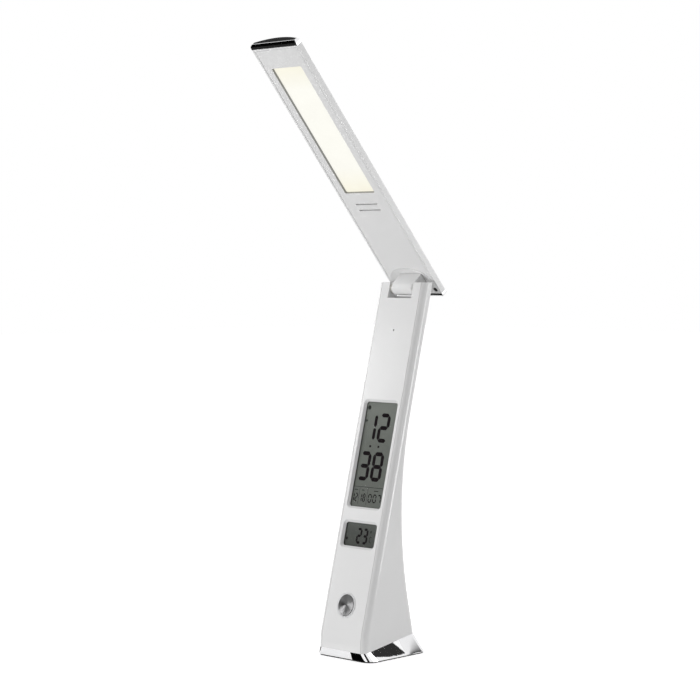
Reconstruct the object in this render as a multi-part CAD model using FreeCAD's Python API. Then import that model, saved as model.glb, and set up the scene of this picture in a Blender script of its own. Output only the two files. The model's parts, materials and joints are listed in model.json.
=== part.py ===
import FreeCAD, Part
import math
import os

# Folding LED table lamp with a clock display. Millimetres and degrees.
# World frame: X to the right as seen from the front, Y to the back, Z up.
# The origin is in the middle of the foot's underside.
# Stem frame: X across, Y inward from the front face (depth), Z up along the front face (rise).
# Head frame: X across, -Y towards the tip, Z up from the underside, with Y zero at the hinge.

# Clearances and cuts
overrun = 5.0
slip_gap = 0.15
running_gap = 0.05
button_gap = 0.25
retainer_gap = 0.08
screw_tip_gap = 0.5
pill_round_share = 0.97
lengthwise_share = 0.9

# Stem form
stem_lean_deg = 13.56
front_foot_reach = 36.4
ear_top_height = 265.0
stem_width = 47.8
stem_depth = 9.2
front_corner_radius = 4.6
rear_corner_radius = 3.8
tuck_height = 21.0
tuck_radius = 42.0
foot_rear_reach = 17.2
flare_start_share = 0.6894
flare_turn_deg = 25.0
shell_wall = 1.6

# Front cover
rim_width = 4.05
cover_thickness = 1.8
cover_groove = 0.22
cover_edge_round = 0.4
ledge_overlap = 1.0
ledge_thickness = 1.0

# Display windows, one above the other
window_side_margin = 2.7
main_window_height = 79.2
temperature_window_height = 20.1
window_gap = 8.2
display_centre_share = 0.5088
window_corner = 2.0
window_bevel_width = 1.6
window_bevel_depth = 1.5
lcd_lap = 1.5
lens_thickness = 0.6
lcd_thickness = 2.2

# Boards behind the front cover
board_thickness = 1.2
board_corner = 2.0
display_board_margin = 3.35
display_board_foot = 8.0
display_board_top_gap = 19.1
main_board_depth = 9.0
main_board_reach = 23.0
main_board_gap = 0.3
post_radius = 2.2
post_edge = 3.5
post_gap = 0.8
main_post_reach = 12.5
board_screw_radius = 0.9
board_screw_length = 2.4
board_screw_head_radius = 1.8
board_screw_head_height = 1.1

# Power button and what it works
button_rise_share = 0.1486
button_radius = 7.46
button_proud = 0.55
button_dish_depth = 0.5
button_collar_thickness = 0.8
button_plunger_radius = 2.2
button_plunger_end = 4.3
button_travel = 0.6
ring_radius = 8.9
ring_lip = 0.35
ring_tube_wall = 0.7
ring_depth = 2.6
switch_side = 6.2
switch_height = 3.4
switch_actuator_radius = 1.7
buzzer_radius = 6.0
buzzer_height = 3.0
buzzer_port_radius = 1.2

# Indicator near the top of the front
indicator_drop = 23.6
indicator_radius = 0.7
indicator_recess = 0.4
indicator_flange_radius = 1.6
indicator_flange_thickness = 0.6

# Setting buttons on the back
set_button_count = 4
set_button_drop = 32.1
set_button_pitch = 11.0
set_button_width = 8.0
set_button_height = 4.6
set_button_proud = 0.6
set_button_lap = 1.1
set_button_flange = 0.8
dome_radius = 2.0
dome_height = 0.5

# Hinge
hinge_below_ears = 4.48
hinge_drop = 8.33
notch_depth = 8.0
rear_lip_wall = 1.6
rear_lip_gap = 0.45
ear_floor_wall = 2.0
pin_radius = 2.0
pin_end_wall = 3.9
pin_clamp_width = 3.6
barrel_radius = 4.6
barrel_length = 22.4
barrel_end_round = 2.4
washer_radius = 4.0
washer_thickness = 0.6
washer_gap = 0.1
neck_side_step = 0.6
knuckle_flange_reach = 8.4
knuckle_flange_thickness = 1.3
knuckle_screw_x = 7.0
knuckle_screw_reach = 6.6
knuckle_screw_radius = 1.0
knuckle_screw_length = 1.7
knuckle_screw_head_radius = 1.6
knuckle_screw_head_height = 0.6

# Head
head_rise_deg = 50.24
head_reach = 210.0
head_tail = 15.1
head_width = 46.4
head_side_height = 4.8
head_crown_height = 8.6
head_shoulder_round = 1.6
head_wall = 1.5
head_lower_thickness = 2.0
head_lower_edge_round = 0.5
end_cap_length = 3.6
end_cap_round = 2.2
scoop_half_width = 23.2
scoop_reach = 14.0
scoop_drop = 3.0
scoop_tail_reach = 6.0
scoop_depth = 3.4
scoop_wall = 1.4
scoop_roof_wall = 1.2
slit_width = 1.1
slit_length = 22.0
slit_count = 2
slit_pitch = 5.3
slit_margin = 10.1
head_screw_edge = 0.4
head_screw_tail_reach = 8.0
head_post_radius = 2.3
head_screw_radius = 1.0
head_screw_length = 3.6
head_screw_head_radius = 1.7
head_screw_head_height = 0.8

# Light panel in the head
light_window_width = 30.0
light_window_length = 109.1
light_window_tip_margin = 20.1
light_window_corner = 1.2
diffuser_recess = 1.7
diffuser_lap = 1.4
diffuser_flange = 0.9
light_frame_height = 1.3
light_frame_wall = 1.2
led_board_thickness = 0.8
led_rows = 2
led_columns = 14
led_row_spacing = 13.0
led_width = 2.8
led_length = 3.5
led_height = 0.7

# Foot
trim_front_height = 6.2
trim_rise_deg = 11.3
skirt_lift = 1.0
skirt_front_reach = 31.7
skirt_rear_reach = 31.5
skirt_front_flare = 4.7
skirt_rear_taper = 1.4
skirt_round = 7.0
skirt_wall = 1.6
base_plate_thickness = 2.4
pad_inset = 1.0
boss_side_gap = 1.1
boss_front_reach = 17.0
boss_rear_reach = 5.0
boss_radius = 3.2
boss_height = 26.6
boss_rib_thickness = 1.6
base_screw_radius = 1.2
base_screw_length = 8.0
base_screw_head_radius = 2.6
base_screw_head_height = 1.3
ballast_side_gap = 0.8
ballast_tail = 0.8
ballast_length = 40.0
ballast_height = 9.0
ballast_corner = 2.0
battery_side_gap = 1.8
battery_rear_gap = 2.4
battery_length = 30.0
battery_height = 7.0
battery_corner = 1.5

# Charging socket in the back
inlet_height = 27.0
inlet_width = 8.94
inlet_body_height = 3.26
inlet_length = 7.35
inlet_shell = 0.3
inlet_tongue_width = 6.0
inlet_tongue_height = 0.7
inlet_tongue_length = 5.0
inlet_setback = 0.3
charge_board_side_gap = 2.8
charge_board_length = 16.0
shelf_setback = 2.0
shelf_length = 7.0
shelf_thickness = 2.0
shelf_bearing = 1.6

V = FreeCAD.Vector
ORIGIN = V(0, 0, 0)
X_AXIS = V(1, 0, 0)
Y_AXIS = V(0, 1, 0)
Z_AXIS = V(0, 0, 1)
SIDES = (-1, 1)

# Frames and the places that several pieces share
lean = math.radians(stem_lean_deg)
hinge_depth = stem_depth / 2
hinge_rise = (ear_top_height - hinge_below_ears + hinge_depth * math.sin(lean)) / math.cos(lean)
notch_floor = hinge_rise - notch_depth
stem_top = ear_top_height / math.cos(lean) + stem_depth
stem_frame = FreeCAD.Placement(V(0, -front_foot_reach, 0), FreeCAD.Rotation(X_AXIS, -stem_lean_deg))
hinge_axis = stem_frame.multVec(V(0, hinge_depth, hinge_rise))
head_turn = FreeCAD.Placement(hinge_axis, FreeCAD.Rotation(X_AXIS, -head_rise_deg))
head_frame = head_turn.multiply(FreeCAD.Placement(V(0, 0, hinge_drop), FreeCAD.Rotation()))
foot_run = front_foot_reach + foot_rear_reach

cover_width = stem_width - 2 * rim_width
window_width = cover_width - 2 * window_side_margin
display_height = temperature_window_height + window_gap + main_window_height
temperature_low = display_centre_share * notch_floor - display_height / 2
temperature_high = temperature_low + temperature_window_height
main_low = temperature_high + window_gap
main_high = main_low + main_window_height
button_rise = button_rise_share * notch_floor
ring_tube_radius = button_radius + button_gap + ring_tube_wall
set_rises = [notch_floor - set_button_drop - set_button_pitch * index for index in range(set_button_count)]
indicator_rise = notch_floor - indicator_drop
pin_length = stem_width - 2 * pin_end_wall
notch_width = barrel_length + 2 * washer_thickness + 4 * washer_gap

# Depths of the layers behind the front face
lens_back = cover_thickness + lens_thickness
lcd_back = lens_back + lcd_thickness
display_board_back = lcd_back + board_thickness
main_board_back = main_board_depth + board_thickness
wall_inner = stem_depth - shell_wall
set_flange_back = wall_inner - retainer_gap
set_flange_front = set_flange_back - set_button_flange

# Boards, posts and bosses
boss_x = stem_width / 2 - shell_wall - boss_side_gap - boss_radius
boss_inner = boss_x - boss_radius
plate_top = skirt_lift + base_plate_thickness
display_board_width = cover_width - 2 * display_board_margin
display_board_low = temperature_low - display_board_foot
display_board_high = notch_floor - display_board_top_gap
main_board_width = 2 * (boss_inner - main_board_gap)
charge_board_width = 2 * (boss_inner - charge_board_side_gap)
skirt_front_width = stem_width + 2 * skirt_front_flare
skirt_rear_width = stem_width - 2 * skirt_rear_taper
post_step = post_radius + post_gap


# General shapes

def placed(shape, frame):
    moved = shape.copy()
    moved.Placement = frame.multiply(moved.Placement)
    return moved


def rounded_wire(corners, radii):
    """Closed outline in the XY plane, with each corner rounded by its own radius."""
    points = [V(x, y, 0) for x, y in corners]
    arcs = []
    for index, radius in enumerate(radii):
        here = points[index]
        back = (points[index - 1] - here).normalize()
        ahead = (points[(index + 1) % len(points)] - here).normalize()
        half_angle = back.getAngle(ahead) / 2
        reach = radius / math.tan(half_angle)
        inward = (back + ahead).normalize()
        middle = here + inward * (radius / math.sin(half_angle) - radius)
        arcs.append((here + back * reach, middle, here + ahead * reach))
    edges = []
    for index, (start, middle, end) in enumerate(arcs):
        following = arcs[(index + 1) % len(arcs)][0]
        edges.append(Part.Arc(start, middle, end).toShape())
        edges.append(Part.LineSegment(end, following).toShape())
    return Part.Wire(edges)


def rectangle(half_width, low, high):
    return [(-half_width, low), (half_width, low), (half_width, high), (-half_width, high)]


def rounded_rectangle(width, low, high, corner):
    return rounded_wire(rectangle(width / 2, low, high), [corner] * 4)


def slab(wire, low, high):
    face = Part.Face(wire)
    face.translate(V(0, 0, low))
    return face.extrude(V(0, 0, high - low))


def box(x_range, y_range, z_range):
    ranges = [sorted(pair) for pair in (x_range, y_range, z_range)]
    size = [high - low for low, high in ranges]
    return Part.makeBox(*size, V(*[low for low, high in ranges]))


def upright_rod(radius, x, y, low, high):
    return Part.makeCylinder(radius, high - low, V(x, y, low), Z_AXIS)


def cross_rod(radius, half_length, y, z):
    return Part.makeCylinder(radius, 2 * half_length, V(-half_length, y, z), X_AXIS)


def front_plate(width, low, high, corner, near, far):
    """Rounded plate parallel to the stem's front, between two depths."""
    plate = slab(rounded_rectangle(width, low, high, corner), -far, -near)
    plate.rotate(ORIGIN, X_AXIS, 90)
    return plate


def front_rod(radius, x, rise, near, far):
    return Part.makeCylinder(radius, far - near, V(x, near, rise), Y_AXIS)


def both_sides(x, places):
    return [(side * x, place) for side in SIDES for place in places]


def fused(shapes):
    return shapes[0].multiFuse(shapes[1:]).removeSplitter()


def edges_where(shape, test):
    chosen = []
    for edge in shape.Edges:
        middle = edge.valueAt((edge.FirstParameter + edge.LastParameter) / 2)
        if test(edge, middle):
            chosen.append(edge)
    return chosen


def direction(edge):
    return edge.tangentAt(edge.FirstParameter)


# Stem outline in the stem frame

def line_arc_line(points):
    top, start, turning, end, foot = points
    return [Part.LineSegment(top, start).toShape(), Part.Arc(start, turning, end).toShape(),
            Part.LineSegment(end, foot).toShape()]


def front_path(inset):
    """Front outline from the top down to below the foot, upright at the bottom."""
    radius = tuck_radius - inset

    def on_arc(turn):
        return V(0, tuck_radius - radius * math.cos(turn), tuck_height - radius * math.sin(turn))

    foot = on_arc(lean) + V(0, math.sin(lean), -math.cos(lean)) * foot_run
    return line_arc_line([V(0, inset, stem_top), on_arc(0), on_arc(lean / 2), on_arc(lean), foot])


# The slanted level where the stem meets the skirt
front_low = stem_frame.multVec(front_path(0)[2].valueAt(0))
trim_tilt = math.radians(trim_rise_deg)
trim_point = V(0, front_low.y, trim_front_height)
trim_run = foot_rear_reach - front_low.y
trim_rear = trim_point + V(0, trim_run, trim_run * math.tan(trim_tilt))
trim_length = (trim_rear - trim_point).Length

# The back flares from straight to a slant that ends at the skirt
flare_start = flare_start_share * notch_floor
flare_turn = math.radians(flare_turn_deg)
rear_slant = flare_turn - lean
foot_point = stem_frame.inverse().multVec(trim_rear)
flare_fall = (flare_start - foot_point.z) * math.sin(flare_turn)
flare_run = (foot_point.y - stem_depth) * math.cos(flare_turn)
flare_radius = (flare_fall - flare_run) / (1 - math.cos(flare_turn))


def rear_path(inset):
    """Rear outline from the top down to below the foot."""
    radius = flare_radius + inset
    centre_depth = stem_depth + flare_radius

    def on_arc(turn):
        return V(0, centre_depth - radius * math.cos(turn), flare_start - radius * math.sin(turn))

    end = on_arc(flare_turn)
    length = end.distanceToPoint(foot_point) + foot_run
    foot = end + V(0, math.sin(flare_turn), -math.cos(flare_turn)) * length
    top = V(0, stem_depth - inset, stem_top)
    return line_arc_line([top, on_arc(0), on_arc(flare_turn / 2), end, foot])


def rear_wall_y(height):
    """World Y of the stem's back where it runs straight above the skirt."""
    return trim_rear.y + (trim_rear.z - height) * math.tan(rear_slant)


def path_ends(path):
    return path[0].valueAt(path[0].FirstParameter), path[-1].valueAt(path[-1].LastParameter)


def closed_face(first_path, second_path):
    first_top, first_foot = path_ends(first_path)
    second_top, second_foot = path_ends(second_path)
    closing = [Part.LineSegment(first_foot, second_foot).toShape(),
               Part.LineSegment(first_top, second_top).toShape()]
    return Part.Face(Part.Wire(Part.__sortEdges__(first_path + second_path + closing)))


def across(face, width):
    solid = face.extrude(V(width, 0, 0))
    solid.translate(V(-width / 2, 0, 0))
    return solid


def round_along(solid, path, radius):
    """Rounds the two long edges that follow a path."""
    guide = Part.Wire(path)

    def on_path(edge, middle):
        spot = Part.Vertex(V(0, middle.y, middle.z))
        lengthwise = abs(direction(edge).x) < lengthwise_share
        return lengthwise and guide.distToShape(spot)[0] < slip_gap

    return solid.makeFillet(radius, edges_where(solid, on_path))


def stem_body(front_inset, rear_inset, side_inset, front_round, rear_round):
    front = front_path(front_inset)
    rear = rear_path(rear_inset)
    solid = across(closed_face(front, rear), stem_width - 2 * side_inset)
    return round_along(round_along(solid, front, front_round), rear, rear_round)


def front_strip(width, near, far):
    return across(closed_face(front_path(near), front_path(far)), width)


def stem_block(low, high):
    """Block across the whole stem between two rises."""
    return box((-stem_width, stem_width), (-overrun, stem_depth + overrun), (low, high))


def trimmed(stem_shape):
    """Cuts a stem piece level at the ear tops and slanted at the skirt."""
    below = box((-stem_width, stem_width), (-stem_top, stem_top), (-stem_top, 0))
    below.rotate(ORIGIN, X_AXIS, trim_rise_deg)
    below.translate(trim_point)
    above = box((-stem_width, stem_width), (-stem_top, stem_top), (ear_top_height, 2 * ear_top_height))
    return placed(stem_shape, stem_frame).cut([below, above])


def notch_cut():
    """Gap between the ears, with a low lip left standing at the back under the barrel."""
    half = notch_width / 2
    throat = box((-half, half), (-overrun, stem_depth - rear_lip_wall), (notch_floor, stem_top + overrun))
    swing_low = hinge_rise - barrel_radius - rear_lip_gap
    swing = box((-half, half), (-overrun, stem_depth + overrun), (swing_low, stem_top + overrun))
    return throat.fuse(swing)


# Stem shell

def pin_saddles():
    """Slots in both ears, open to the front, that the hinge pin drops into."""
    half = pin_length / 2 + slip_gap
    reach = pin_radius + running_gap
    bore = cross_rod(reach, half, hinge_depth, hinge_rise)
    way_in = box((-half, half), (-overrun, hinge_depth), (hinge_rise - reach, hinge_rise + reach))
    return [bore, way_in]


boss_places = both_sides(boss_x, (-boss_front_reach, boss_rear_reach))
boss_top = plate_top + boss_height


def base_bosses():
    """Screw bosses with a rib to the side wall, above the base plate."""
    shapes = []
    for x, y in boss_places:
        wall_x = math.copysign(stem_width / 2 - shell_wall / 2, x)
        rib_low = trim_point.z + (y + boss_radius - trim_point.y) * math.tan(trim_tilt)
        rib_y = (y - boss_rib_thickness / 2, y + boss_rib_thickness / 2)
        shapes.append(upright_rod(boss_radius, x, y, plate_top, boss_top))
        shapes.append(box((x, wall_x), rib_y, (rib_low, boss_top)))
    return shapes


def base_screw_pilots(low, high):
    return [upright_rod(base_screw_radius, x, y, low, high) for x, y in boss_places]


inlet_mouth = rear_wall_y(inlet_height + inlet_body_height / 2) - inlet_setback
charge_board_top = inlet_height - inlet_body_height / 2
charge_board_rear = inlet_mouth - inlet_setback - shell_wall - slip_gap
charge_board_front = charge_board_rear - charge_board_length


def board_shelves():
    """Ledges on both side walls under the charging board."""
    top = charge_board_top - board_thickness
    start = charge_board_front + shelf_setback
    inner = charge_board_width / 2 - shelf_bearing
    outer = stem_width / 2 - shell_wall / 2
    return [box((side * inner, side * outer), (start, start + shelf_length), (top - shelf_thickness, top))
            for side in SIDES]


def inlet_outline(grow, y_low, y_high):
    half = inlet_body_height / 2 + grow
    wire = rounded_rectangle(inlet_width + 2 * grow, -half, half, half * pill_round_share)
    body = slab(wire, -y_high, -y_low)
    body.rotate(ORIGIN, X_AXIS, 90)
    body.translate(V(0, 0, inlet_height))
    return body


def set_button_outline(grow, near, far, rise):
    half = set_button_height / 2 + grow
    width = set_button_width + 2 * grow
    return front_plate(width, rise - half, rise + half, half * pill_round_share, near, far)


def stem_rear_shell():
    outer = stem_body(0, 0, 0, front_corner_radius, rear_corner_radius)
    cavity_front = cover_thickness + ledge_thickness
    cavity_round = rear_corner_radius - shell_wall
    closed_ears = stem_block(notch_floor - ear_floor_wall, stem_top + overrun)
    cavity = stem_body(cavity_front, shell_wall, shell_wall, cavity_round, cavity_round).cut(closed_ears)
    seat = front_strip(cover_width + 2 * cover_groove, -overrun, cover_thickness)
    opening = front_strip(cover_width - 2 * ledge_overlap, 0, cavity_front + slip_gap).cut(closed_ears)
    holes = [set_button_outline(button_gap, wall_inner - overrun, stem_depth + overrun, rise)
             for rise in set_rises]
    shell = trimmed(outer.cut([cavity, seat, opening, notch_cut()] + pin_saddles() + holes))
    shell = fused([shell] + base_bosses() + board_shelves())
    pilots = base_screw_pilots(plate_top - overrun, plate_top + base_screw_length)
    inlet_hole = inlet_outline(slip_gap, inlet_mouth - overrun, inlet_mouth + overrun)
    return shell.cut(pilots + [inlet_hole])


# Front cover

def window_cut(low, high):
    """Window with bevelled sides, wide at the front and narrow behind."""
    inner_low = low + window_bevel_width
    inner_high = high - window_bevel_width
    inner_width = window_width - 2 * window_bevel_width

    def outline(grow, depth):
        corner = window_corner + grow
        wire = rounded_rectangle(inner_width + 2 * grow, inner_low - grow, inner_high + grow, corner)
        wire.rotate(ORIGIN, X_AXIS, 90)
        wire.translate(V(0, depth, 0))
        return wire

    ends = [outline(2 * window_bevel_width, -window_bevel_depth), outline(0, window_bevel_depth)]
    through = front_plate(inner_width, inner_low, inner_high, window_corner, 0, overrun)
    return [Part.makeLoft(ends, True, True), through]


def board_posts(places, board_depth):
    posts = []
    for x, rise in places:
        post = front_rod(post_radius, x, rise, cover_thickness, board_depth)
        pilot = front_rod(board_screw_radius, x, rise, cover_thickness, board_depth + overrun)
        posts.append(post.cut(pilot))
    return posts


display_post_rises = (temperature_low - post_step, main_high + post_step, display_board_high - post_edge)
display_post_places = both_sides(display_board_width / 2 - post_edge, display_post_rises)
main_post_rises = (button_rise - main_post_reach, button_rise + main_post_reach)
main_post_places = both_sides(main_board_width / 2 - post_edge, main_post_rises)


def pin_clamps():
    """Ribs on the back of the cover that hold the hinge pin down in its saddles."""
    outer = cover_width / 2 - ledge_overlap
    half = pin_clamp_width / 2
    depths = (cover_thickness, hinge_depth - pin_radius - running_gap)
    return [box((side * notch_width / 2, side * outer), depths, (hinge_rise - half, hinge_rise + half))
            for side in SIDES]


def stem_front_cover():
    panel = round_along(front_strip(cover_width, 0, cover_thickness), front_path(0), cover_edge_round)
    cuts = window_cut(main_low, main_high) + window_cut(temperature_low, temperature_high) + [notch_cut()]
    cuts.append(front_rod(ring_tube_radius + running_gap, 0, button_rise, -overrun, overrun))
    cuts.append(front_rod(indicator_radius, 0, indicator_rise, -overrun, overrun))
    posts = board_posts(display_post_places, lcd_back) + board_posts(main_post_places, main_board_depth)
    return trimmed(fused([panel.cut(cuts)] + posts + pin_clamps()))


# Displays and boards

def display_layer(low, high, near, far):
    width = window_width - 2 * window_bevel_width + 2 * lcd_lap
    step = window_bevel_width - lcd_lap
    return placed(front_plate(width, low + step, high - step, window_corner, near, far), stem_frame)


def main_lens():
    return display_layer(main_low, main_high, cover_thickness, lens_back)


def main_lcd():
    return display_layer(main_low, main_high, lens_back, lcd_back)


def temperature_lens():
    return display_layer(temperature_low, temperature_high, cover_thickness, lens_back)


def temperature_lcd():
    return display_layer(temperature_low, temperature_high, lens_back, lcd_back)


def drilled_board(width, low, high, near, places):
    far = near + board_thickness
    board = front_plate(width, low, high, board_corner, near, far)
    holes = [front_rod(board_screw_radius, x, rise, near - overrun, far + overrun) for x, rise in places]
    return placed(board.cut(holes), stem_frame)


def display_board():
    return drilled_board(display_board_width, display_board_low, display_board_high, lcd_back,
                         display_post_places)


def main_board():
    return drilled_board(main_board_width, button_rise - main_board_reach, button_rise + main_board_reach,
                         main_board_depth, main_post_places)


def board_screws():
    screws = []
    for places, back in ((display_post_places, display_board_back), (main_post_places, main_board_back)):
        for x, rise in places:
            shank = front_rod(board_screw_radius - running_gap, x, rise, back - board_screw_length, back)
            head = front_rod(board_screw_head_radius, x, rise, back, back + board_screw_head_height)
            screws.append(placed(shank.fuse(head), stem_frame))
    return Part.makeCompound(screws)


def alarm_buzzer():
    back = main_board_back + buzzer_height
    can = front_rod(buzzer_radius, 0, button_rise, main_board_back, back)
    port = front_rod(buzzer_port_radius, 0, button_rise, main_board_back + buzzer_height / 2, back + overrun)
    return placed(can.cut(port), stem_frame)


def indicator_light_pipe():
    flange_back = cover_thickness + indicator_flange_thickness
    pipe = front_rod(indicator_radius - running_gap, 0, indicator_rise, indicator_recess, lcd_back)
    flange = front_rod(indicator_flange_radius, 0, indicator_rise, cover_thickness, flange_back)
    return placed(pipe.fuse(flange), stem_frame)


# Buttons

def set_switches():
    domes = [front_rod(dome_radius, 0, rise, display_board_back, display_board_back + dome_height)
             for rise in set_rises]
    return Part.makeCompound([placed(dome, stem_frame) for dome in domes])


def set_button(rise):
    cap = set_button_outline(0, set_flange_front, stem_depth + set_button_proud, rise)
    flange = set_button_outline(set_button_lap, set_flange_front, set_flange_back, rise)
    return placed(cap.fuse(flange).removeSplitter(), stem_frame)


def button_ring():
    lip = front_rod(ring_radius, 0, button_rise, -ring_lip, 0)
    tube = front_rod(ring_tube_radius, 0, button_rise, 0, ring_depth)
    bore = front_rod(button_radius + button_gap, 0, button_rise, -overrun, overrun)
    return placed(lip.fuse(tube).removeSplitter().cut(bore), stem_frame)


def power_button():
    """Dished cap with a collar behind the ring and a plunger for the switch."""
    collar_near = ring_depth + retainer_gap
    cap = front_rod(button_radius, 0, button_rise, -button_proud, collar_near)
    collar = front_rod(ring_tube_radius, 0, button_rise, collar_near, collar_near + button_collar_thickness)
    plunger = front_rod(button_plunger_radius, 0, button_rise, collar_near, button_plunger_end)
    dish_radius = (button_radius ** 2 + button_dish_depth ** 2) / (2 * button_dish_depth)
    dish = Part.makeSphere(dish_radius, V(0, button_dish_depth - button_proud - dish_radius, button_rise))
    return placed(fused([cap, collar, plunger]).cut(dish), stem_frame)


def power_switch():
    top = main_board_depth - switch_height
    half = switch_side / 2
    case = box((-half, half), (top, main_board_depth), (button_rise - half, button_rise + half))
    actuator_end = button_plunger_end + button_travel + retainer_gap
    actuator = front_rod(switch_actuator_radius, 0, button_rise, actuator_end, top)
    return placed(case.fuse(actuator), stem_frame)


# Hinge pin

def hinge_pin():
    return placed(cross_rod(pin_radius, pin_length / 2, hinge_depth, hinge_rise), stem_frame)


def hinge_washers():
    rings = []
    for side in SIDES:
        middle = side * (barrel_length / 2 + washer_gap + washer_thickness / 2)
        start = V(middle - washer_thickness / 2, hinge_depth, hinge_rise)
        ring = Part.makeCylinder(washer_radius, washer_thickness, start, X_AXIS)
        hole = Part.makeCylinder(pin_radius + running_gap, washer_thickness, start, X_AXIS)
        rings.append(placed(ring.cut(hole), stem_frame))
    return Part.makeCompound(rings)


# Foot

def skirt_top_wire(inset):
    outline = rectangle(stem_width / 2 - inset, inset, trim_length - inset)
    radii = [front_corner_radius - inset] * 2 + [rear_corner_radius - inset] * 2
    wire = rounded_wire(outline, radii)
    wire.rotate(ORIGIN, X_AXIS, trim_rise_deg)
    wire.translate(trim_point)
    return wire


def skirt_foot_wire(inset):
    front_half = skirt_front_width / 2 - inset
    rear_half = skirt_rear_width / 2 - inset
    front = inset - skirt_front_reach
    rear = skirt_rear_reach - inset
    outline = [(-front_half, front), (front_half, front), (rear_half, rear), (-rear_half, rear)]
    return rounded_wire(outline, [skirt_round - inset] * 4)


def skirt_loft(inset):
    """Form from the stem's slanted end down and out to the foot."""
    foot = skirt_foot_wire(inset)
    foot.translate(V(0, 0, skirt_lift))
    return Part.makeLoft([skirt_top_wire(inset), foot], True, True)


def base_skirt():
    return skirt_loft(0).cut(skirt_loft(skirt_wall))


def base_plate():
    reach = skirt_front_width + skirt_rear_reach
    level = box((-reach, reach), (-reach, reach), (0, plate_top))
    plate = skirt_loft(skirt_wall + slip_gap).common(level)
    recesses = [upright_rod(base_screw_head_radius + slip_gap, x, y, 0, skirt_lift + base_screw_head_height)
                for x, y in boss_places]
    return plate.cut(recesses + base_screw_pilots(0, plate_top + overrun))


def base_screws():
    screws = []
    head_top = skirt_lift + base_screw_head_height
    for x, y in boss_places:
        head = upright_rod(base_screw_head_radius, x, y, skirt_lift, head_top)
        tip = plate_top + base_screw_length - screw_tip_gap
        screws.append(head.fuse(upright_rod(base_screw_radius - running_gap, x, y, head_top, tip)))
    return Part.makeCompound(screws)


def foot_pad():
    return slab(skirt_foot_wire(pad_inset), 0, skirt_lift)


ballast_top = plate_top + ballast_height
battery_top = ballast_top + battery_height


def ballast_weight():
    rear = foot_rear_reach + ballast_tail
    width = 2 * (boss_inner - ballast_side_gap)
    wire = rounded_rectangle(width, rear - ballast_length, rear, ballast_corner)
    return slab(wire, plate_top, ballast_top)


def battery():
    rear = rear_wall_y(battery_top) - shell_wall - battery_rear_gap
    width = 2 * (boss_inner - battery_side_gap)
    wire = rounded_rectangle(width, rear - battery_length, rear, battery_corner)
    return slab(wire, ballast_top, battery_top)


def charge_board():
    wire = rounded_rectangle(charge_board_width, charge_board_front, charge_board_rear, board_corner)
    return slab(wire, charge_board_top - board_thickness, charge_board_top)


def charge_inlet():
    """Metal socket shell, open to the back, with its contact tongue."""
    back = inlet_mouth - inlet_length
    body = inlet_outline(0, back, inlet_mouth)
    inside = inlet_outline(-inlet_shell, back + inlet_shell, inlet_mouth + overrun)
    half_width = inlet_tongue_width / 2
    half_height = inlet_tongue_height / 2
    tongue = box((-half_width, half_width), (back, back + inlet_shell + inlet_tongue_length),
                 (inlet_height - half_height, inlet_height + half_height))
    return body.cut(inside).fuse(tongue)


# Head form in the head frame

head_half = head_width / 2
crown_rise = head_crown_height - head_side_height
crown_radius = (head_half ** 2 + crown_rise ** 2) / (2 * crown_rise)
cover_front = end_cap_length - head_reach
cover_back = head_tail - end_cap_length
head_screw_x = head_half - head_wall - head_screw_edge - head_post_radius
head_screw_places = both_sides(head_screw_x, (head_screw_tail_reach,))
roof_top = scoop_depth + scoop_wall
flange_top = roof_top + knuckle_flange_thickness
light_far = light_window_tip_margin - head_reach
light_near = light_far + light_window_length


def crown_height(x, inset):
    return head_crown_height - crown_radius + math.sqrt((crown_radius - inset) ** 2 - x ** 2)


def head_section(inset, low, start, end):
    """Domed section of the head between two places along its length."""
    half = head_half - inset
    side = crown_height(half, inset)
    corners = [V(-half, start, side), V(-half, start, low), V(half, start, low), V(half, start, side)]
    edges = [Part.LineSegment(first, second).toShape() for first, second in zip(corners, corners[1:])]
    crown = V(0, start, head_crown_height - inset)
    edges.append(Part.Arc(corners[-1], crown, corners[0]).toShape())
    return Part.Face(Part.Wire(edges)).extrude(V(0, end - start, 0))


def head_upper_cover():
    solid = head_section(0, 0, cover_front, cover_back)

    def shoulder(edge, middle):
        return abs(direction(edge).y) > lengthwise_share and abs(middle.z - head_side_height) < slip_gap

    solid = solid.makeFillet(head_shoulder_round, edges_where(solid, shoulder))
    hollow = head_section(head_wall, -overrun, cover_front + head_wall, cover_back - head_wall)
    low = head_lower_thickness
    post_top = crown_height(head_screw_x, head_wall / 2)
    posts = [upright_rod(head_post_radius, x, y, low, post_top) for x, y in head_screw_places]
    pilot_top = low + head_screw_length
    pilots = [upright_rod(head_screw_radius, x, y, 0, pilot_top) for x, y in head_screw_places]
    return placed(fused([solid.cut(hollow)] + posts).cut(pilots), head_frame)


def light_plate(grow, low, high):
    corner = max(light_window_corner + grow, light_window_corner / 2)
    wire = rounded_rectangle(light_window_width + 2 * grow, light_far - grow, light_near + grow, corner)
    return slab(wire, low, high)


def slit_cuts():
    half = slit_width / 2
    cuts = []
    for index in range(slit_count):
        middle = light_near + slit_margin + slit_pitch * index
        wire = rounded_rectangle(slit_length, middle - half, middle + half, half * pill_round_share)
        cuts.append(slab(wire, -overrun, overrun))
    return cuts


def knuckle_rods(radius, low, high):
    places = both_sides(knuckle_screw_x, (-knuckle_screw_reach, knuckle_screw_reach))
    return [upright_rod(radius, x, y, low, high) for x, y in places]


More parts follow.
